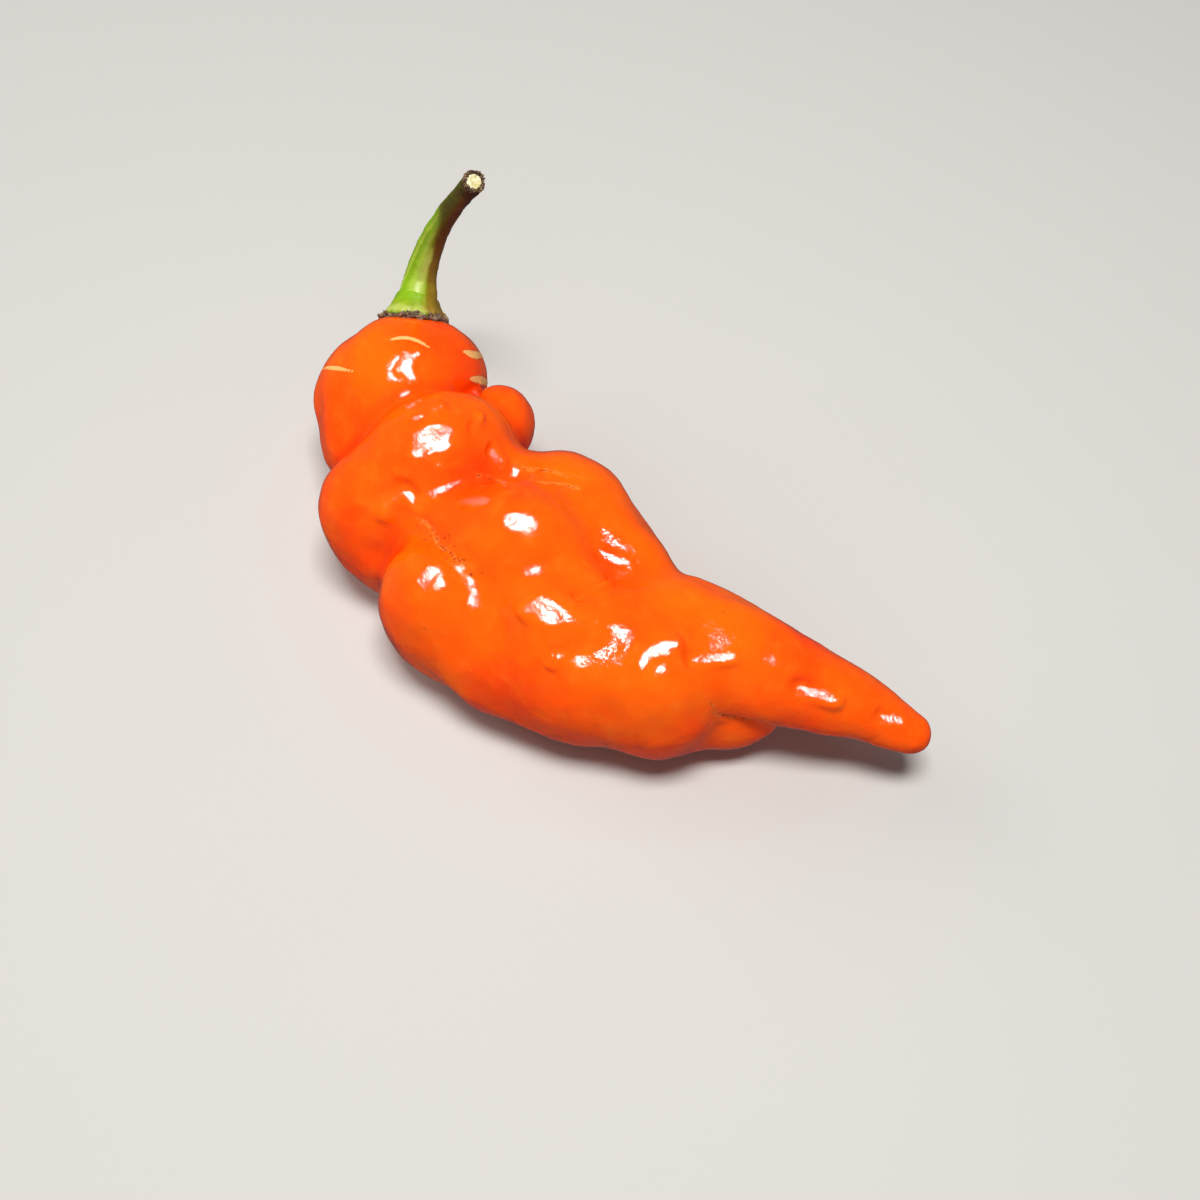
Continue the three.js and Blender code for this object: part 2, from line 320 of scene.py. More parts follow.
def smooth_path(points, t):
    """Points on a Catmull-Rom curve through the given points, for t from 0 to 1."""
    points = np.array(points, float)
    ends = [2 * points[0] - points[1], 2 * points[-1] - points[-2]]
    padded = np.vstack([ends[0], points, ends[1]])
    place = np.clip(t, 0, 1) * (len(points) - 1)
    index = np.minimum(place.astype(int), len(points) - 2)
    u = (place - index)[:, None]
    a, b, c, d = (padded[index + k] for k in range(4))
    cubic = (3 * b - a - 3 * c + d) * u**3 + (2 * a - 5 * b + 4 * c - d) * u**2
    return 0.5 * (cubic + (c - a) * u + 2 * b)


link_t = np.linspace(0, 1, CORE_LINKS + 1)
link_at = smooth_path([at for at, _ in CORE], link_t)
link_radius = smooth_path([[radius] for _, radius in CORE], link_t)[:, 0]


def core_distance(points):
    """The distance to the chain of round cones, which is negative inside it."""
    nearest = np.full(len(points), 1e9)
    for i in range(CORE_LINKS):
        link = link_at[i + 1] - link_at[i]
        to_point = points - link_at[i]
        along = np.clip(to_point @ link / (link @ link), 0, 1)
        radius = link_radius[i] + (link_radius[i + 1] - link_radius[i]) * along
        away = np.linalg.norm(to_point - along[:, None] * link, axis=1)
        nearest = np.minimum(nearest, away - radius)
    return nearest


def bulge_distance(points, centre, half, turn):
    """About how far points are from an ellipsoid's skin, from their place and the slope there."""
    angle = math.radians(turn)
    dx, dy, dz = (points - np.array(centre)).T
    x = dx * math.cos(angle) + dy * math.sin(angle)
    y = dy * math.cos(angle) - dx * math.sin(angle)
    local = np.stack([x, y, dz], axis=1)
    reach = np.linalg.norm(local / half, axis=1)
    slope = np.linalg.norm(local / np.square(half), axis=1)
    return reach * (reach - 1) / np.maximum(slope, 1e-6)


def blended(a, b, blend):
    """The smaller of two distances, rounded off where they differ by less than blend."""
    overlap = np.maximum(blend - np.abs(a - b), 0) / blend
    return np.minimum(a, b) - overlap**2 * blend * 0.25


def pod_distance(points):
    """The distance to the pod's skin: negative inside, positive outside, flat where it rests on Z = 0."""
    distance = core_distance(points)
    for _, family_blend, bulges in FAMILIES:
        family = None
        for centre, half, turn, blend in bulges:
            bulge = bulge_distance(points, centre, half, turn)
            family = bulge if family is None else blended(family, bulge, blend)
        distance = blended(distance, family, family_blend)
    ripple = sum(np.sin(points @ np.array(run) + start) for run, start in RIPPLES)
    return np.maximum(distance - RIPPLE_HEIGHT * ripple, -points[:, 2])


def pod_slope(points, step=0.02):
    """Which way the distance grows, measured across a small step along each axis."""
    slope = np.empty_like(points)
    for axis in range(3):
        shift = np.zeros(3)
        shift[axis] = step
        slope[:, axis] = (pod_distance(points + shift) - pod_distance(points - shift)) / (2 * step)
    return slope


def onto_skin(points, steps=2):
    """Moves points straight to the nearest skin."""
    for _ in range(steps):
        slope = pod_slope(points)
        size = np.maximum((slope**2).sum(axis=1), LEAST_SLOPE)
        points = points - (pod_distance(points) / size)[:, None] * slope
    return points


print(sum(len(bulges) for _, _, bulges in FAMILIES), "bulges on a core of", CORE_LINKS, "links")

# %% [markdown]
# ## A grid over the pod
# A surface given by a rule still needs a mesh. Rays leave the core like the spines of a hairbrush, and
# fan out over both ends. Each point walks inwards along its ray until it meets the skin. The grid is then
# evened out, because rays crowd together in the folds, and it is divided twice. That keeps the skin one
# closed piece of neat quads, which a voxel remesh would not.

# %% Rays, walking in and evening out
ROWS = 60
FAN_ROWS = 8
SIDES = 80
REACH = 30.0
WALK_STEPS = 60
WALK_SHARE = 0.85
EVENING_PASSES = 8
DIVISIONS = 2


def ray_grid():
    """The start and the direction of each ray, as grids of rows and sides."""
    fan = (np.arange(FAN_ROWS) + 0.5) / FAN_ROWS
    t = np.concatenate([np.zeros(FAN_ROWS), np.linspace(0, 1, ROWS), np.ones(FAN_ROWS)])
    lean = np.radians(np.concatenate([90 * fan - 90, np.zeros(ROWS), 90 * fan[:FAN_ROWS]]))
    path = [at for at, _ in CORE]
    middle = smooth_path(path, t)
    ahead = smooth_path(path, np.minimum(t + 1e-3, 1)) - smooth_path(path, np.maximum(t - 1e-3, 0))
    ahead /= np.linalg.norm(ahead, axis=1)[:, None]
    side = np.cross([0, 0, 1], ahead)
    side /= np.linalg.norm(side, axis=1)[:, None]
    up = np.cross(ahead, side)
    angle = np.linspace(0, 2 * math.pi, SIDES, endpoint=False)[None, :, None]
    spokes = side[:, None] * np.cos(angle) + up[:, None] * np.sin(angle)
    lean = lean[:, None, None]
    direction = spokes * np.cos(lean) + ahead[:, None] * np.sin(lean)
    poles = np.array([middle[0], middle[-1]]), np.array([-ahead[0], ahead[-1]])
    return np.broadcast_to(middle[:, None], direction.shape), direction, poles


def walk_in(start, direction, stop_at=0.0, reach=REACH):
    """Walks inwards along rays until each is the given distance from the pod."""
    along = np.full(len(start), reach)
    for _ in range(WALK_STEPS):
        along -= WALK_SHARE * (pod_distance(start + direction * along[:, None]) - stop_at)
    return start + direction * along[:, None]


def on_grid(change, grid):
    """Runs a change of a list of points on a whole grid of them."""
    return change(grid.reshape(-1, 3)).reshape(grid.shape)


def evened(grid):
    """Each point goes half way to the middle of its four neighbours, then back to the skin."""
    moved = grid.copy()
    across = np.roll(grid, 1, axis=1)[1:-1] + np.roll(grid, -1, axis=1)[1:-1]
    moved[1:-1] = 0.5 * grid[1:-1] + 0.125 * (across + grid[2:] + grid[:-2])
    return on_grid(onto_skin, moved)


def divided(grid):
    """Twice as many rows and sides, half way between the ones there are."""
    rows = np.empty((2 * len(grid) - 1, *grid.shape[1:]))
    rows[::2] = grid
    rows[1::2] = (grid[1:] + grid[:-1]) / 2
    sides = np.empty((len(rows), 2 * grid.shape[1], 3))
    sides[:, ::2] = rows
    sides[:, 1::2] = (rows + np.roll(rows, -1, axis=1)) / 2
    return sides


start, direction, (pole_start, pole_direction) = ray_grid()
pod_grid = walk_in(start.reshape(-1, 3), direction.reshape(-1, 3)).reshape(direction.shape)
for _ in range(EVENING_PASSES):
    pod_grid = evened(pod_grid)
for _ in range(DIVISIONS):
    pod_grid = on_grid(onto_skin, divided(pod_grid))
pod_grid = evened(pod_grid)
pod_poles = walk_in(pole_start, pole_direction)
print("pod grid", pod_grid.shape[:2])

# %% [markdown]
# ## Small relief
# The rule gives the big forms. A real skin also dips and swells over a few millimetres, has fine cracks in
# its folds, a rough patch where two bulges rubbed, small pits, and pale corky crescents where the skin
# stretched round the stalk end. It also has small level stretches, here called shelves, and a shelf that
# faces half way between the light and the viewer shines. Each of these is a short curve or spot on the
# skin. It moves the mesh, mostly by a fraction of a millimetre, and the cracks, crescents and rough patch
# leave marks on the points, which the finish reads later. Real dents give highlights that move as the
# pepper turns, which painted ones would not.

# %% Curves and spots on the skin
# Valleys: the points that each passes near, its half width and its depth.
VALLEYS = [
    ([(-17.5, -9.5, 18.0), (-12.5, -10.5, 19.5), (-6.5, -11.0, 20.0), (-3.0, -11.5, 20.0)], 1.9, 0.95),
    ([(-12.5, 3.0, 18.5), (-13.5, 0.0, 19.5), (-15.5, -5.0, 20.5), (-17.5, -9.0, 18.5)], 2.2, 0.6),
    ([(-13.5, -0.5, 19.5), (-11.5, 3.0, 18.5), (-8.0, 4.0, 20.0), (-3.0, 5.5, 20.5)], 1.1, 0.5),
    ([(-3.0, -11.5, 20.0), (0.5, -13.0, 18.5), (2.0, -15.0, 16.0)], 2.2, 0.7),
    ([(-19.5, -16.0, 12.0), (-17.5, -13.5, 14.5), (-15.5, -11.0, 17.5)], 1.6, 0.7),
    ([(4.5, -7.5, 22.5), (6.0, -4.0, 21.5), (7.0, 0.0, 20.0), (9.5, 2.5, 18.0)], 1.5, 0.45),
    ([(8.0, -11.5, 19.5), (10.5, -9.5, 20.0), (12.5, -6.0, 21.0)], 2.0, 0.55),
    ([(17.5, -5.5, 20.0), (18.0, -2.0, 19.5), (17.0, 2.0, 19.0)], 1.4, 0.3),
    ([(-24.5, -5.0, 19.5), (-22.0, -3.5, 21.5), (-18.0, 1.0, 21.5)], 1.6, 0.35),
    ([(-36.0, -1.5, 18.0), (-33.5, -3.0, 17.5), (-31.0, -5.0, 15.5)], 1.7, 0.55),
]
# Shelves: the points that each passes near and its half width.
SHELVES = [
    ([(-30.8, 3.5, 21.5), (-30.8, 5.0, 22.0), (-30.8, 6.5, 22.0)], 0.9),
    ([(-30.5, 4.0, 21.5), (-29.0, 4.0, 21.0)], 0.8),
    ([(-23.0, -2.0, 24.0), (-22.5, -1.0, 24.5), (-22.0, 1.5, 24.0)], 0.9),
    ([(-17.5, 2.5, 23.0), (-18.5, 4.5, 22.5)], 0.6),
    ([(-18.5, -3.5, 23.0), (-18.0, -1.5, 23.0)], 0.9),
    ([(-17.5, -3.5, 22.0)], 0.8),
    ([(-15.0, 3.0, 20.0), (-14.0, 3.0, 19.0)], 0.9),
    ([(-22.5, -9.5, 20.5), (-22.0, -9.0, 20.5)], 0.5),
    ([(-20.5, -7.5, 21.5), (-19.5, -6.5, 22.0)], 0.5),
    ([(-19.0, -5.0, 22.5)], 0.4),
    ([(-19.5, -11.0, 18.0), (-19.5, -9.5, 19.0), (-19.0, -8.0, 20.0), (-18.0, -8.0, 20.0)], 1.1),
    ([(-5.5, -4.5, 24.0), (-4.5, -4.0, 24.5), (-3.5, -3.5, 24.0)], 1.1),
    ([(-9.5, -15.0, 19.5), (-9.0, -14.0, 20.0), (-9.0, -13.0, 20.0)], 1.1),
    ([(-5.5, -14.0, 18.5)], 0.7),
    ([(2.5, -10.5, 21.0), (3.5, -9.5, 21.5), (5.0, -9.5, 21.5)], 1.3),
    ([(8.0, -11.5, 19.5), (8.0, -13.0, 18.5)], 0.6),
    ([(3.0, 1.5, 18.5), (6.0, 2.5, 18.0), (6.0, 0.0, 19.0)], 0.9),
    ([(5.5, -5.5, 21.5), (6.5, -1.5, 20.0)], 0.5),
    ([(3.0, -1.5, 20.0)], 0.5),
    ([(6.5, 3.5, 18.0)], 0.4),
    ([(15.5, -7.0, 20.0), (15.5, -5.5, 20.5), (17.0, -3.0, 20.5)], 1.1),
    ([(19.5, -2.5, 19.5), (20.5, -1.0, 18.5), (22.0, 1.0, 18.0)], 1.0),
    ([(29.5, 4.0, 16.0), (31.5, 5.0, 15.5), (33.0, 6.0, 14.5)], 1.1),
    ([(38.0, 9.0, 12.5), (39.5, 10.0, 12.0)], 1.0),
]
# The way that a shelf at the middle of the pod faces, how much less it faces the tip for each millimetre
# towards the tip, and the most that it raises or lowers the skin.
SHELF_FACES = np.array([0.2, -0.24, 0.95])
TURN_PER_MM = 0.004
SHELF_LIMIT = 0.75
# Crescents: the points that each passes near and its half width.
CRESCENTS = [
    ([(-34.5, 5.0, 22.0), (-33.0, 7.2, 22.0), (-30.3, 8.4, 21.0)], 0.4),
    ([(-41.5, 0.0, 16.0), (-38.5, 0.0, 18.5), (-35.0, 0.0, 21.0)], 0.34),
    ([(-29.5, 12.0, 18.0), (-29.0, 13.5, 16.5), (-30.0, 16.0, 13.5)], 0.65),
    ([(-27.0, 10.5, 16.5), (-27.5, 12.5, 14.0), (-28.0, 14.5, 11.0)], 0.6),
]
# Cracks and the rough patch: the points that each passes near.
CRACKS = [
    [(-14.5, -0.5, 19.5), (-11.5, 3.0, 18.5), (-8.0, 4.0, 20.0), (-4.0, 5.5, 20.5)],
    [(-12.0, 4.5, 18.5), (-8.5, 5.5, 20.0), (-4.5, 6.5, 20.5)],
    [(-16.2, -9.3, 18.5), (-14.5, -9.0, 19.0), (-11.5, -10.0, 19.5), (-7.0, -10.5, 20.0)],
    [(23.0, -3.5, 15.0), (24.0, -3.0, 12.5), (26.0, -1.0, 10.5), (29.0, 1.5, 10.5)],
]
ROUGH_PATCH = [(-15.8, -9.5, 18.6), (-14.0, -9.5, 19.0), (-10.0, -10.0, 19.5), (-6.0, -11.0, 20.0)]
# Pits: where each is and its half width.
PITS = [
    ((-12.0, 5.0, 18.5), 0.7),
    ((-1.0, -12.5, 18.5), 0.45),
    ((9.5, -10.5, 19.5), 0.9),
    ((7.5, -11.5, 19.0), 0.5),
    ((-1.0, -17.5, 14.0), 0.4),
    ((-19.0, -15.0, 14.0), 0.4),
]
# Dips and swells all over: their height, their size and a seed.
DIPS = [(0.2, 6.0, 1), (0.13, 3.0, 2), (0.035, 1.4, 3)]
# Half widths, depths and heights. A pit's depth is a share of its half width. All relief fades out below
# the foot's height, so that the pod still rests flat.
CRACK_WIDTH = 0.45
CRACK_DEPTH = 0.28
ROUGH_WIDTH = 1.5
ROUGH_HEIGHT = 0.2
ROUGH_SIZE = 0.8
PIT_DEPTH_SHARE = 0.35
CRESCENT_HEIGHT = 0.08
FOOT_HEIGHT = 0.8


def around(stations, reach):
    """Which points of the skin lie within reach of a curve's middle part."""
    middle = np.mean(stations, axis=0)
    span = np.linalg.norm(np.array(stations) - middle, axis=1).max()
    return np.linalg.norm(skin - middle, axis=1) < span + reach


def near_curve(points, stations, samples=16):
    """How far points are from a curve on the skin, and the nearest place on it, as a share and a point."""
    stations = stations * 2 if len(stations) == 1 else stations
    line = onto_skin(smooth_path(stations, np.linspace(0, 1, samples)), steps=4)
    nearest = np.full(len(points), 1e9)
    along = np.zeros(len(points))
    spot = np.zeros_like(points)
    for i in range(samples - 1):
        link = line[i + 1] - line[i]
        to_point = points - line[i]
        part = np.clip(to_point @ link / max(link @ link, 1e-9), 0, 1)
        away = np.linalg.norm(to_point - part[:, None] * link, axis=1)
        closer = away < nearest
        nearest[closer] = away[closer]
        along[closer] = ((i + part) / (samples - 1))[closer]
        spot[closer] = (line[i] + part[:, None] * link)[closer]
    return nearest, along, spot


def skin_noise(points, size, seed):
    """Smooth noise between about -1 and 1, at each point."""
    offset = Vector((seed * 17.3, seed * 5.1, seed * 9.7))
    return np.array([noise.noise(Vector(point) / size + offset) for point in points.tolist()])


skin = pod_grid.reshape(-1, 3)
facing_out = pod_slope(skin, step=0.05)
facing_out /= np.linalg.norm(facing_out, axis=1)[:, None]

# A fold is where the skin closes in on a point that stands a little way off it, and the finish paints it
# darker and redder there, as painted shade.
STAND_OFF = 1.6
fold = 1 - pod_distance(skin + STAND_OFF * facing_out) / STAND_OFF
fold = np.clip((fold - 0.08) / 0.5, 0, 1)

relief = sum(height * skin_noise(skin, size, seed) for height, size, seed in DIPS)
for stations, width, depth in VALLEYS:
    near = around(stations, 3 * width)
    away, along, _ = near_curve(skin[near], stations)
    fade = np.sin(math.pi * np.clip(along, 0.04, 0.96)) ** 0.5
    relief[near] -= depth * fade * np.exp(-((away / width) ** 2))

# A shelf replaces the relief along its curve by the step up or down to its own plane.
for stations, width in SHELVES:
    near = around(stations, 2.5 * width)
    away, _, spot = near_curve(skin[near], stations)
    share = np.exp(-((away / width) ** 3))
    level = (relief[near] * share).sum() / share.sum()
    middle = np.mean(stations, axis=0)
    faces = SHELF_FACES - np.array([TURN_PER_MM * middle[0], 0, 0])
    centre = 0.3 * spot + 0.7 * middle
    rise = ((centre - skin[near]) @ faces) / np.maximum(facing_out[near] @ faces, 0.3)
    relief[near] += share * (np.clip(rise, -SHELF_LIMIT, SHELF_LIMIT) + level - relief[near])

crescent = np.full(len(skin), -1.0)
for stations, width in CRESCENTS:
    away, along, _ = near_curve(skin, stations)
    taper = width * np.sin(math.pi * np.clip(along, 0.02, 0.98)) ** 0.6
    crescent = np.maximum(crescent, 1 - away / taper)
crack = np.full(len(skin), 9.0)
for stations in CRACKS:
    away, along, _ = near_curve(skin, stations)
    fade = np.sin(math.pi * np.clip(along, 0.03, 0.97)) ** 0.5
    relief -= CRACK_DEPTH * np.exp(-((away / CRACK_WIDTH) ** 2)) * fade
    crack = np.minimum(crack, away)
patch, _, _ = near_curve(skin, ROUGH_PATCH)
rough = np.exp(-((patch / ROUGH_WIDTH) ** 2))
relief += rough * ROUGH_HEIGHT * skin_noise(skin, ROUGH_SIZE, 4)
for at, width in PITS:
    away = np.linalg.norm(skin - onto_skin(np.array([at]), steps=4), axis=1)
    relief -= PIT_DEPTH_SHARE * width * np.exp(-((away / width) ** 2))
relief += CRESCENT_HEIGHT * np.clip(crescent, -0.3, 1) * (crescent > -0.3)
relief *= np.clip(skin[:, 2] / FOOT_HEIGHT, 0, 1)
print("relief from", round(relief.min(), 2), "to", round(relief.max(), 2), "mm")

# %% [markdown]
# ## From a grid to a mesh
# One helper turns any closed grid into a mesh: quads between its rows, and a fan of triangles round each
# pole. It also takes the marks, as named attributes on the points.



# %% Closed meshes from grids
def closed_mesh(name, grid, poles, marks=None):
    """A smooth, closed object from a grid in millimetres whose sides run anticlockwise from the last row."""
    rows, sides = grid.shape[:2]
    points = np.concatenate([grid.reshape(-1, 3), poles]) * MM
    first, last = rows * sides, rows * sides + 1
    index = np.arange(rows * sides).reshape(rows, sides)
    after = np.roll(index, -1, axis=1)
    quads = np.stack([index[:-1], after[:-1], after[1:], index[1:]], axis=-1).reshape(-1, 4)
    faces = quads.tolist()
    faces += [(first, b, a) for a, b in zip(index[0].tolist(), after[0].tolist())]
    faces += [(last, a, b) for a, b in zip(index[-1].tolist(), after[-1].tolist())]
    mesh = bpy.data.meshes.new(name)
    mesh.from_pydata(points.tolist(), [], faces)
    mesh.shade_smooth()
    for mark, values in (marks or {}).items():
        attribute = mesh.attributes.new(mark, "FLOAT", "POINT")
        ends = [values[:sides].mean(), values[-sides:].mean()]
        attribute.data.foreach_set("value", np.concatenate([values, ends]).astype(np.float32))
    made = bpy.data.objects.new(name, mesh)
    scene.collection.objects.link(made)
    print(name, len(mesh.vertices), "points", len(mesh.polygons), "faces")
    return made


relieved = (skin + facing_out * relief[:, None]).reshape(pod_grid.shape)
pod_marks = {"fold": fold, "crescent": crescent, "crack": crack, "rough": rough}
pod = closed_mesh("pod_skin", relieved, pod_poles, pod_marks)

# %% [markdown]
# ## The pod's finish
# The skin is a thin, waxy, see-through layer over wet orange flesh. So the surface scatters a little light
# inside, and is nearly smooth, for sharp highlights. The colour shifts from a warm orange to a redder one
# in broad clouds. The folds are painted darker and redder as painted shade, and darker brownish patches lie
# low down. The marks place the corky crescents, the brown cracks and the crowd of specks.

# %% Pod finish
skin_finish = Finish("pod_skin")
place = skin_finish.place()
clouds = skin_finish.cloud(place, 14.0, detail=4.0, warp=0.4)
mottle = skin_finish.cloud(place, 2.2, detail=5.0, rough=0.6)
grain = skin_finish.cloud(place, 0.32, detail=3.0)
painted_fold_shade = skin_finish.mark("fold")
rubbed = skin_finish.mark("rough")

colour = skin_finish.blend(clouds.rise(0.35, 0.7), paint("FF6002"), paint("FF4702"))
colour = skin_finish.blend(mottle.rise(0.45, 0.8) * 0.35, colour, paint("FF7A14"))
# Painted shade: the folds are darker and redder.
colour = skin_finish.blend(painted_fold_shade * 0.8, colour, paint("DC2C00"))

# Darker, brownish patches of noise, only on the low part.
height = skin_finish.node("ShaderNodeSeparateXYZ", {}, {"Vector": place}, "Z")
low_dark_patches = skin_finish.cloud(place, 3.6, detail=5.0, rough=0.6, warp=0.3).rise(0.5, 0.72)
low_dark_patches = low_dark_patches * (1.0 - height.rise(9.0, 17.0))
colour = skin_finish.blend(low_dark_patches * 0.5, colour, paint("B83404"))

# Corky crescents with uneven edges, darker along their rim.
cork_mark = skin_finish.mark("crescent") + (mottle - 0.5) * 0.7 + (grain - 0.5) * 0.4
colour = skin_finish.blend(cork_mark.rise(-0.1, 0.12) * 0.6, colour, paint("C05A20"))
colour = skin_finish.blend(cork_mark.rise(0.1, 0.4), colour, paint("F2B266"))

# Cracks: a thin brown line inside a wider, paler scar, broken up by noise.
from_crack = skin_finish.mark("crack") + (grain - 0.5) * 0.5
broken = skin_finish.cloud(place, 0.9, detail=2.0).rise(0.42, 0.6)
scar = (1.0 - from_crack.rise(0.1, 0.42)) * broken
line = (1.0 - from_crack.rise(0.03, 0.16)) * skin_finish.cloud(place, 0.6).rise(0.4, 0.55)
colour = skin_finish.blend(scar * 0.55, colour, paint("E88838"))
colour = skin_finish.blend(line * 0.85, colour, paint("7A2A08"))

# Specks: a few all over, and a crowd of them on the rubbed patch.
few = 1.0 - skin_finish.cells(place, 1.9).rise(0.035, 0.075)
few = few * skin_finish.cloud(place, 4.0).rise(0.5, 0.62)
crowd = 1.0 - skin_finish.cells(place, 0.75).rise(0.2, 0.36)
crowd = crowd * rubbed.rise(0.2, 0.75) * skin_finish.cloud(place, 1.3).rise(0.38, 0.56)
colour = skin_finish.blend(few.most(crowd) * 0.75, colour, paint("8A2C06"))

roughness = mottle.rise(0.3, 0.8) * 0.06 + 0.07 + rubbed * 0.12 + cork_mark.rise(0.0, 0.3) * 0.3
skin_finish.feed(Base_Color=colour, Roughness=roughness)
wax = skin_finish.bump(skin_finish.cloud(place, 0.8, detail=3.0), 0.06)
skin_finish.feed(Normal=skin_finish.bump(grain, 0.03, below=wax))
skin_finish.feed(IOR=1.5, Subsurface_Weight=0.12, Subsurface_Scale=0.002)
skin_finish.feed(Subsurface_Radius=(1.0, 0.25, 0.05))
pod.data.materials.append(skin_finish.material)

# %% [markdown]
# ## The calyx
# The calyx is a small green cup at the root of the stalk. Its rings follow the pod at the seat and lose that
# shape on the way up, where they narrow into the neck. A lip runs round it, with a pale painted highlight
# along it, and the rim is a little scalloped and uneven. Its plain solid has the same seat, radius and neck.

# %% Calyx
CALYX_AT = np.array([-38.3, 13.0, 17.5])
CALYX_AXIS = np.array([-0.4, 0.77, 0.49])
CALYX_AXIS /= np.linalg.norm(CALYX_AXIS)
CALYX_SIDES = 168
CALYX_ROWS = 64
SEAT_RADIUS = 3.75
SEAT_GAP = 0.12
SHOW_SIDE = np.array([0.78, 0.62, 0.0])
# The rings are even within the first radius, and fully uneven once they are the width further out.
EVEN_RADIUS = 2.3
UNEVEN_WIDTH = 1.5

# Radius, height, and how much of the seat's shape each ring keeps.
CALYX_PROFILE = [
    (0.6, 0.0, 1.0),
    (2.2, 0.0, 1.0),
    (3.4, 0.05, 1.0),
    (3.85, 0.3, 1.0),
    (3.9, 0.62, 0.95),
    (3.72, 0.95, 0.85),
    (3.42, 1.12, 0.7),
    (3.2, 1.4, 0.55),
    (2.92, 1.8, 0.3),
    (2.66, 2.3, 0.0),
    (2.35, 2.42, 0.0),
    (0.6, 2.42, 0.0),
]


def spokes_round(axis, count):
    """Directions square to an axis, evenly spread round it, and the angle of each."""
    side = np.cross([0, 0, 1], axis)
    side = side / np.linalg.norm(side)
    up = np.cross(axis, side)
    turn = np.linspace(0, 2 * math.pi, count, endpoint=False)
    return side * np.cos(turn)[:, None] + up * np.sin(turn)[:, None], turn


def seat_height(spots):
    """How far above the flat plane at CALYX_AT the pod's skin lies, under each spot."""
    axis = np.broadcast_to(CALYX_AXIS, spots.shape)
    return (walk_in(spots, axis, SEAT_GAP, reach=8.0) - spots) @ CALYX_AXIS


spoke, turn = spokes_round(CALYX_AXIS, CALYX_SIDES)
stations = smooth_path(CALYX_PROFILE, np.linspace(0, 1, CALYX_ROWS))
radius, height, follow = (stations[:, i, None] for i in range(3))
wavy = 0.035 * np.cos(5 * turn + 0.8) + 0.02 * np.cos(11 * turn + 2.0) + 0.015 * np.cos(23 * turn)
outward = np.clip((radius - EVEN_RADIUS) / UNEVEN_WIDTH, 0, 1)
radius = radius * (1 + wavy * outward)
height = height + 0.16 * np.cos(7 * turn + 1.1) * outward * (height > 0.2)
spots = CALYX_AT + radius[:, :, None] * spoke
seated = np.where(radius[:, :, None] > SEAT_RADIUS, CALYX_AT + SEAT_RADIUS * spoke, spots)
below = seat_height(seated.reshape(-1, 3))
lift = height + follow * below.reshape(radius.shape)
calyx_grid = spots + lift[:, :, None] * CALYX_AXIS
rough_rim = skin_noise(calyx_grid.reshape(-1, 3), 0.9, 5).reshape(radius.shape)
calyx_grid += (0.1 * outward * rough_rim)[:, :, None] * spoke
pole_heights = calyx_grid[[0, -1]].mean(axis=1) @ CALYX_AXIS - CALYX_AT @ CALYX_AXIS
calyx_poles = CALYX_AT + np.outer(pole_heights, CALYX_AXIS)
calyx_marks = {
    "height": np.broadcast_to(height, radius.shape).ravel(),
    "side": np.broadcast_to(spoke @ SHOW_SIDE, radius.shape).ravel(),
}
calyx = closed_mesh("calyx_cup", calyx_grid, calyx_poles, calyx_marks)

# %% [markdown]
# ## Geometry Nodes as Python
# The same kind of wrapper builds Geometry Nodes trees. `Shaper` adds named inputs, sets them on the modifier
# by their identifiers, ends the tree in Realize Instances and Set Material, and turns the result into a
# plain mesh. Two trees are enough here: one sweeps the stalk along its path, and one scatters small chips
# along a ring, for the cork under the calyx and for the frayed fibres round the cut end.


# %% Shaper
class Shaper(Tree):
    """A Geometry Nodes tree with named inputs, whose result becomes a plain mesh."""

    KINDS = {
        int: "NodeSocketInt",
        float: "NodeSocketFloat",
        Vector: "NodeSocketVector",
        bpy.types.Material: "NodeSocketMaterial",
    }

    def __init__(self, name, inputs):
        super().__init__(bpy.data.node_groups.new(name, "GeometryNodeTree"))
        face = self.tree.interface
        face.new_socket("Geometry", in_out="INPUT", socket_type="NodeSocketGeometry")
        face.new_socket("Geometry", in_out="OUTPUT", socket_type="NodeSocketGeometry")
        for label, kind in inputs.items():
            face.new_socket(label, in_out="INPUT", socket_type=self.KINDS[kind])
        self.entry = self.tree.nodes.new("NodeGroupInput")

    def given(self, label):
        return Signal(self, self.entry.outputs[label])

    def noise_at(self, place, scale):
        return self.node("ShaderNodeTexNoise", {}, {"Vector": place, "Scale": scale, "Detail": 3.0})

    def scaled(self, vector, amount):
        return self.node("ShaderNodeVectorMath", {"operation": "SCALE"}, {0: vector, "Scale": amount})

    def close(self, shape):
        """Ends the tree."""
        shape = self.node("GeometryNodeRealizeInstances", {}, {"Geometry": shape})
        sockets = {"Geometry": shape, "Material": self.given("Material")}
        shape = self.node("GeometryNodeSetMaterial", {}, sockets)
        self.node("NodeGroupOutput", {}, {"Geometry": shape})

    def shape(self, made, values):
        """Runs the tree on an object, and leaves the result as its plain mesh."""
        modifier = made.modifiers.new(self.tree.name, "NODES")
        modifier.node_group = self.tree
        for item in self.tree.interface.items_tree:
            if item.name in values:
                modifier[item.identifier] = values[item.name]
        graph = bpy.context.evaluated_depsgraph_get()
        mesh = bpy.data.meshes.new_from_object(made.evaluated_get(graph))
        made.modifiers.remove(modifier)
        made.data = mesh
        mesh.name = made.name
        print(made.name, len(mesh.vertices), "points", len(mesh.polygons), "faces")


def chain(name, points, closed=False, marks=None):
    """An object of points in millimetres joined by edges: a path for a tree to follow."""
    count = len(points)
    edges = [(i, (i + 1) % count) for i in range(count if closed else count - 1)]
    mesh = bpy.data.meshes.new(name)
    mesh.from_pydata((np.array(points) * MM).tolist(), edges, [])
    for mark, values in (marks or {}).items():
        mesh.attributes.new(mark, "FLOAT", "POINT").data.foreach_set("value", np.array(values, np.float32))
    made = bpy.data.objects.new(name, mesh)
    scene.collection.objects.link(made)
    return made


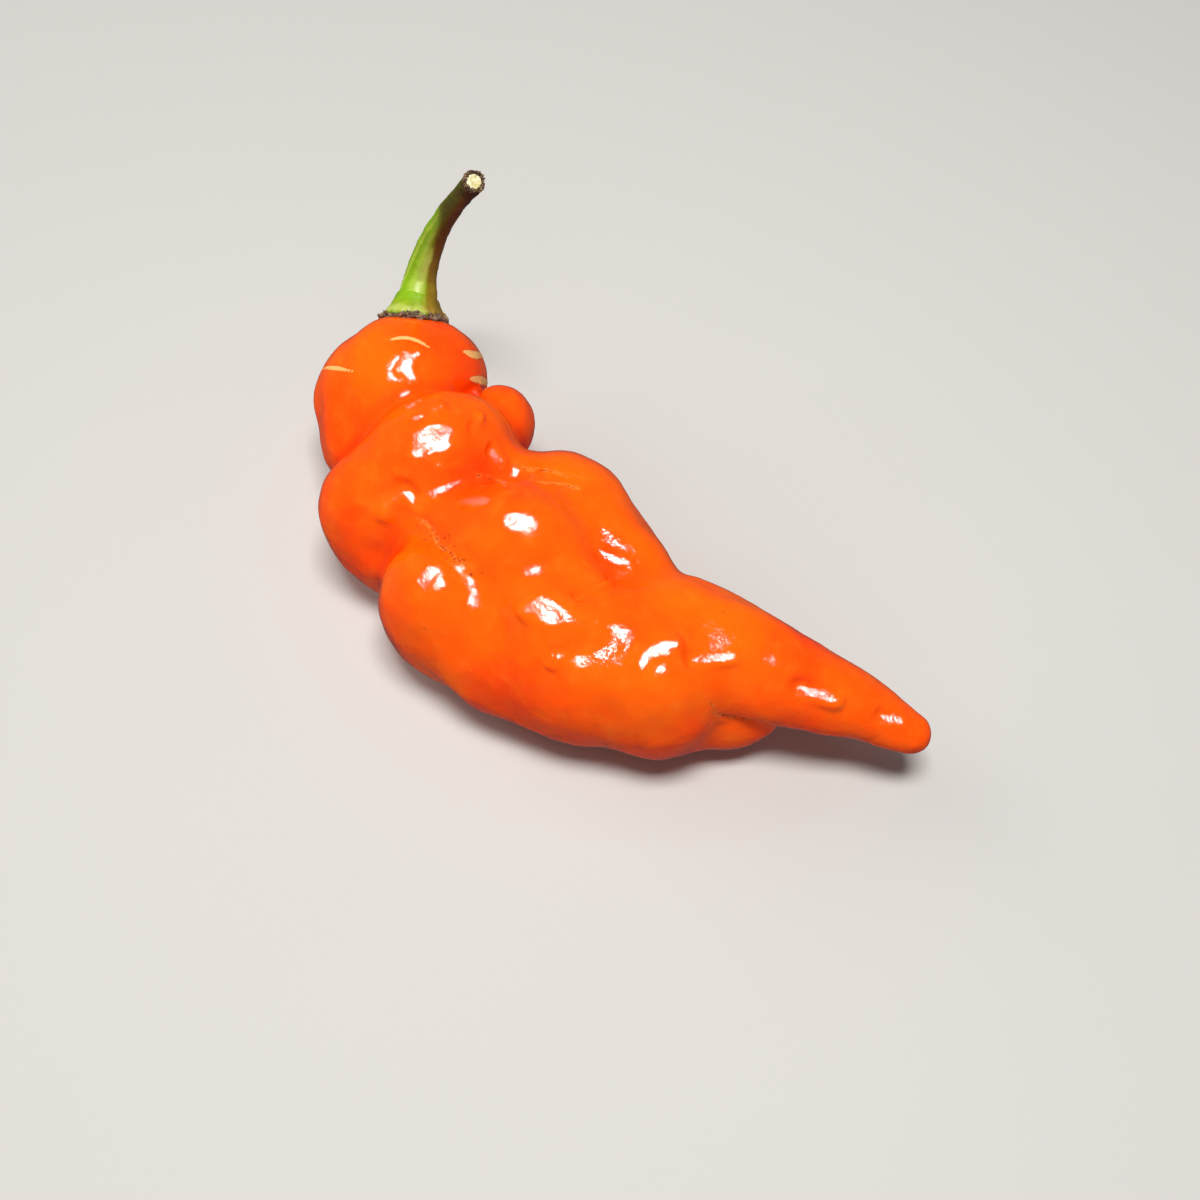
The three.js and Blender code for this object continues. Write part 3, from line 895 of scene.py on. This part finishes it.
# %% Stalk
STALK_PATH = [
    CALYX_AT + 1.9 * CALYX_AXIS,
    (-40.1, 16.6, 20.8),
    (-39.3, 18.4, 26.0),
    (-36.9, 19.1, 31.5),
    (-33.5, 18.7, 37.0),
    (-30.8, 17.9, 41.1),
]
STALK_RADII = [2.5, 2.1, 1.8, 1.6, 1.45, 1.34, 1.26, 1.2, 1.16, 1.18, 1.26]
STALK_STEPS = 150
STALK_SIDES = 72
WALKED_STEPS = 600

walked = smooth_path(STALK_PATH, np.linspace(0, 1, WALKED_STEPS))
length = np.concatenate([[0], np.cumsum(np.linalg.norm(np.diff(walked, axis=0), axis=1))])
even = np.linspace(0, 1, STALK_STEPS)
stalk_line = np.stack([np.interp(even * length[-1], length, walked[:, i]) for i in range(3)], axis=1)
stalk_thick = smooth_path([[radius] for radius in STALK_RADII], even)[:, 0] * MM
stalk_end = stalk_line[-1]
stalk_heading = stalk_line[-1] - stalk_line[-4]
stalk_heading /= np.linalg.norm(stalk_heading)

sweep_inputs = {"Sides": int, "Ridges": float, "Ridge height": float, "Knobbly": float}
sweep = Shaper("swept stalk", sweep_inputs | {"Material": bpy.types.Material})
thick = sweep.node("GeometryNodeInputNamedAttribute", {"data_type": "FLOAT"}, {"Name": "thick"})
path = sweep.node("GeometryNodeMeshToCurve", {}, {"Mesh": sweep.given("Geometry")})
circle_sockets = {"Resolution": sweep.given("Sides"), "Radius": 1.0}
round_profile = sweep.node("GeometryNodeCurvePrimitiveCircle", {}, circle_sockets)
part_round = sweep.node("GeometryNodeSplineParameter")
ridge = (part_round * (2 * math.pi) * sweep.given("Ridges") + 0.6).cosine()
profile_place = sweep.node("GeometryNodeInputPosition")
profile = sweep.node(
    "GeometryNodeSetPosition",
    {},
    {"Geometry": round_profile, "Offset": sweep.scaled(profile_place, ridge * sweep.given("Ridge height"))},
)
tube_sockets = {"Curve": path, "Profile Curve": profile, "Scale": thick, "Fill Caps": True}
tube = sweep.node("GeometryNodeCurveToMesh", {}, tube_sockets)
place = sweep.node("GeometryNodeInputPosition")
knobs = (sweep.noise_at(place, 420.0) - 0.5) + 0.35 * (sweep.noise_at(place, 1500.0) - 0.5)
normal = sweep.node("GeometryNodeInputNormal")
tube = sweep.node(
    "GeometryNodeSetPosition",
    {},
    {"Geometry": tube, "Offset": sweep.scaled(normal, knobs * sweep.given("Knobbly"))},
)
sweep.close(tube)


# %% Chips along a ring
chip_inputs = {"Count": int, "Size": float, "Spread": float, "Length": float, "Seed": int}
chip_inputs |= {"Heading": Vector, "Wildness": float, "Material": bpy.types.Material}
chips = Shaper("chips on a ring", chip_inputs)


def random_between(low, high, salt):
    """A different random vector for each chip."""
    sockets = {0: low, 1: high, "Seed": chips.given("Seed") + salt}
    return chips.node("FunctionNodeRandomValue", {"data_type": "FLOAT_VECTOR"}, sockets)


ring = chips.node("GeometryNodeMeshToCurve", {}, {"Mesh": chips.given("Geometry")})
point_sockets = {"Curve": ring, "Count": chips.given("Count")}
spots_on_ring = chips.node("GeometryNodeCurveToPoints", {"mode": "COUNT"}, point_sockets)
scatter = chips.scaled(random_between((-1, -1, -1), (1, 1, 1), 1), chips.given("Spread"))
spots_on_ring = chips.node("GeometryNodeSetPosition", {}, {"Geometry": spots_on_ring, "Offset": scatter})
chip = chips.node("GeometryNodeMeshIcoSphere", {}, {"Radius": 1.0, "Subdivisions": 2})
stretch = chips.node("ShaderNodeCombineXYZ", {}, {0: 1.0, 1: 1.0, 2: chips.given("Length")})
some_size = random_between((0.35, 0.35, 0.4), (1, 1, 1), 2)
sizes = chips.node("ShaderNodeVectorMath", {"operation": "MULTIPLY"}, {0: stretch, 1: some_size})
stray = chips.scaled(random_between((-1, -1, -1), (1, 1, 1), 3), chips.given("Wildness"))
heading = chips.node("ShaderNodeVectorMath", {"operation": "ADD"}, {0: chips.given("Heading"), 1: stray})
standing = chips.node("FunctionNodeAlignRotationToVector", {"axis": "Z"}, {"Vector": heading})
strewn = chips.node(
    "GeometryNodeInstanceOnPoints",
    {},
    {
        "Points": spots_on_ring,
        "Instance": chip,
        "Rotation": standing,
        "Scale": chips.scaled(sizes, chips.given("Size")),
    },
)
strewn = chips.node("GeometryNodeRealizeInstances", {}, {"Geometry": strewn})
place = chips.node("GeometryNodeInputPosition")
normal = chips.node("GeometryNodeInputNormal")
ragged = (chips.noise_at(place, 3000.0) - 0.5) * chips.given("Size") * 0.9
ragged_sockets = {"Geometry": strewn, "Offset": chips.scaled(normal, ragged)}
strewn = chips.node("GeometryNodeSetPosition", {}, ragged_sockets)
chips.close(strewn)

# %% [markdown]
# ## Green, olive and brown
# The calyx and the stalk share their colours: a fresh yellow-green on the left, an olive to brown flush on
# the right and towards the top, and pale streaks that run lengthwise. A broad pale band low on the stalk
# and a pale band on the calyx's lip are painted highlights. The marks say how far along and how far to the
# right each point lies, and noise makes the borders uneven. The cut end is pale and porous, and the cork
# and the frayed fibres are dry and flaky.

# %% Calyx finish
cup_finish = Finish("calyx_skin")
place = cup_finish.place()
patches = cup_finish.cloud(place, 1.6, detail=4.0)
fine = cup_finish.cloud(place, 0.4, detail=3.0)
to_right = cup_finish.mark("side")
up_cup = cup_finish.mark("height")
# Painted highlight: a pale band along the lip.
painted_lip_highlight = up_cup.rise(0.45, 0.75) * (1.0 - up_cup.rise(0.95, 1.3))
colour = cup_finish.blend(patches.rise(0.3, 0.7), paint("7C9410"), paint("8FA818"))
colour = cup_finish.blend(up_cup.rise(1.2, 2.0), colour, paint("7CA40C"))
colour = cup_finish.blend(painted_lip_highlight * 0.75, colour, paint("B4BC5A"))
flush = (to_right + (patches - 0.5) * 0.7).rise(0.25, 0.65)
colour = cup_finish.blend(flush * 0.9, colour, paint("8A6414"))
# Darker brown low on the cup, where it sits on the pod.
dark_foot = (1.0 - (up_cup + (fine - 0.5) * 0.7).rise(0.1, 0.5)) * 0.9
colour = cup_finish.blend(dark_foot, colour, paint("3C2A18"))
cup_finish.feed(Base_Color=colour, Roughness=0.45, IOR=1.42)
cup_finish.feed(Subsurface_Weight=0.1, Subsurface_Scale=0.001)
cup_finish.feed(Normal=cup_finish.bump(patches, 0.12, below=cup_finish.bump(fine, 0.04)))
calyx.data.materials.append(cup_finish.material)

# %% Stalk finish
stalk_finish = Finish("stalk_skin")
place = stalk_finish.place()
patches = stalk_finish.cloud(place, 2.4, detail=5.0, rough=0.6, warp=0.5)
fine = stalk_finish.cloud(place, 0.5, detail=3.0)
to_right = stalk_finish.mark("side")
along = stalk_finish.mark("along")
streaks = stalk_finish.mark("streak")
uneven = (patches - 0.5) * 0.6
colour = stalk_finish.blend(streaks.rise(0.2, 0.9) * 0.5, paint("7CA40C"), paint("B4C44C"))
# Painted highlight: a broad pale band down the middle of the lower stalk.
middle = to_right - 0.05
painted_highlight_band = (1.0 - middle * middle * 8.0).rise(0.0, 1.0) * (1.0 - along.rise(0.25, 0.45))
colour = stalk_finish.blend(painted_highlight_band * 0.5, colour, paint("C8D470"))
olive = (along * 2.8 + to_right * 0.6 + uneven).rise(0.85, 1.3)
colour = stalk_finish.blend(olive, colour, paint("56540A"))
brown = (along * 1.4 + to_right * 1.1 + uneven).rise(0.55, 0.85)
rust = stalk_finish.blend(along.rise(0.1, 0.6), paint("8A6414"), paint("5C360A"))
colour = stalk_finish.blend(brown * 0.9, colour, rust)
scab = (along * 1.6 + to_right * 0.35 + uneven * 1.6).rise(1.25, 1.5)
colour = stalk_finish.blend(scab * 0.9, colour, paint("2E0F06"))
dots = (1.0 - stalk_finish.cells(place, 0.8).rise(0.12, 0.24)) * along.rise(0.35, 0.8)
colour = stalk_finish.blend(dots * 0.7, colour, paint("241008"))
stalk_finish.feed(Base_Color=colour, Roughness=0.4 + 0.15 * along, IOR=1.42)
stalk_finish.feed(Subsurface_Weight=0.08, Subsurface_Scale=0.001)
stalk_finish.feed(Normal=stalk_finish.bump(patches, 0.15, below=stalk_finish.bump(fine, 0.05)))

# %% Pith and cork finishes
pith_finish = Finish("pith")
place = pith_finish.place()
pores = pith_finish.cells(place, 0.22)
fibres = pith_finish.cloud(place, 0.5, detail=4.0)
colour = pith_finish.blend(fibres.rise(0.35, 0.7), paint("CDBE78"), paint("EFE6C0"))
colour = pith_finish.blend((1.0 - pores.rise(0.1, 0.35)) * 0.5, colour, paint("8C8034"))
pith_finish.feed(Base_Color=colour, Roughness=0.8)
pith_finish.feed(Normal=pith_finish.bump(pores, 0.08, below=pith_finish.bump(fibres, 0.15)))


def flaky_finish(name, dark, middle, light, size):
    """A dry, flaky surface in three shades."""
    flaky = Finish(name)
    place = flaky.place()
    flakes = flaky.cloud(place, size, detail=5.0, rough=0.7)
    shades = [(0.3, paint(dark)), (0.5, paint(middle)), (0.68, paint(light))]
    ramp = flaky.node("ShaderNodeValToRGB", {"stops": shades}, {"Fac": flakes})
    flaky.feed(Base_Color=ramp, Roughness=0.85, Normal=flaky.bump(flakes, 0.12))
    return flaky.material


cork_material = flaky_finish("cork", "2E2018", "6A5240", "B89A78", 0.6)
fibre_material = flaky_finish("frayed_fibres", "2C1A10", "6A5038", "A89068", 0.6)

# %% [markdown]
# ## The stalk, its cut end and the cork
# The trees run on plain chains of points. The stalk takes its thickness from a mark on its path. Afterwards
# each of its points gets the marks that its finish reads. The cut end has a pale, slightly domed pith inside
# a ring of frayed fibres, and dry cork crumbles round the calyx where it meets the pod.

# %% Run the trees
stalk = chain("stalk_sweep", stalk_line, marks={"thick": stalk_thick})
sweep_values = {"Sides": STALK_SIDES, "Ridges": 5.0, "Ridge height": 0.035, "Knobbly": 0.00032}
sweep.shape(stalk, sweep_values | {"Material": stalk_finish.material})
stalk.data.shade_smooth()

stalk_points = np.empty(3 * len(stalk.data.vertices))
stalk.data.vertices.foreach_get("co", stalk_points)
stalk_points = stalk_points.reshape(-1, 3) / MM
nearest = np.linalg.norm(stalk_points[:, None] - stalk_line[None], axis=2).argmin(axis=1)
stalk_ahead = np.gradient(stalk_line, axis=0)
stalk_ahead /= np.linalg.norm(stalk_ahead, axis=1)[:, None]
radial = stalk_points - stalk_line[nearest]
radial -= (radial * stalk_ahead[nearest]).sum(axis=1)[:, None] * stalk_ahead[nearest]
radial /= np.maximum(np.linalg.norm(radial, axis=1), 1e-6)[:, None]
show = SHOW_SIDE - (stalk_ahead @ SHOW_SIDE)[:, None] * stalk_ahead
show /= np.linalg.norm(show, axis=1)[:, None]
to_side = (radial * show[nearest]).sum(axis=1)
to_back = (radial * np.cross(stalk_ahead, show)[nearest]).sum(axis=1)
angle = np.arctan2(to_back, to_side)
lanes = np.sin(9 * angle + 0.5) * 0.5 + np.sin(17 * angle + 2.0) * 0.3 + 0.5
stalk_marks = {"along": nearest / (STALK_STEPS - 1), "side": to_side, "streak": lanes}
for mark, values in stalk_marks.items():
    attribute = stalk.data.attributes.new(mark, "FLOAT", "POINT")
    attribute.data.foreach_set("value", values.astype(np.float32))

# The pith: rings from its hidden back to the middle of its face.
PITH_RADIUS = 0.86
PITH_SIDES = 72
RIM_RADIUS = 1.04
CORK_SIDES = 120
CORK_LIFT = 0.12
spoke, _ = spokes_round(stalk_heading, PITH_SIDES)
pith_profile = smooth_path(
    [(0.3, -0.5), (0.95, -0.5), (1.0, -0.3), (1.0, 0.05), (0.9, 0.14), (0.6, 0.16), (0.15, 0.1)],
    np.linspace(0, 1, 32),
)
pith_grid = stalk_end + PITH_RADIUS * pith_profile[:, 0, None, None] * spoke
pith_grid = pith_grid + pith_profile[:, 1, None, None] * stalk_heading
lumps = skin_noise(pith_grid.reshape(-1, 3), 0.45, 6).reshape(pith_grid.shape[:2])
pith_grid += (0.12 * lumps * (pith_profile[:, 1, None] > -0.2))[:, :, None] * stalk_heading
pith = closed_mesh("pith", pith_grid, pith_grid[[0, -1]].mean(axis=1))
pith.data.materials.append(pith_finish.material)

rim_line = stalk_end + RIM_RADIUS * spoke
fibres = chain("cut_rim_fibres", rim_line, closed=True)
rim_values = {"Count": 170, "Size": 0.00018, "Spread": 0.00017, "Length": 2.2, "Seed": 4}
rim_values |= {"Heading": stalk_heading.tolist(), "Wildness": 0.45, "Material": fibre_material}
chips.shape(fibres, rim_values)

seat_spoke, _ = spokes_round(CALYX_AXIS, CORK_SIDES)
seat_spots = CALYX_AT + SEAT_RADIUS * seat_spoke
seat_line = seat_spots + (seat_height(seat_spots) + CORK_LIFT)[:, None] * CALYX_AXIS
cork = chain("cork_ring", seat_line, closed=True)
cork_values = {"Count": 340, "Size": 0.00044, "Spread": 0.0004, "Length": 0.7, "Seed": 11}
cork_values |= {"Heading": CALYX_AXIS.tolist(), "Wildness": 1.2, "Material": cork_material}
chips.shape(cork, cork_values)

# %% Join the frame
joining = [
    (pod, "pod", "pod_skin"),
    (calyx, "calyx", "calyx_skin"),
    (cork, "calyx", "calyx_skin"),
    (stalk, "stalk", "stalk_skin"),
    (pith, "stalk", "stalk_skin"),
    (fibres, "stalk", "stalk_skin"),
]
for made, node, slot in joining:
    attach(made, "root")
    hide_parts(node)
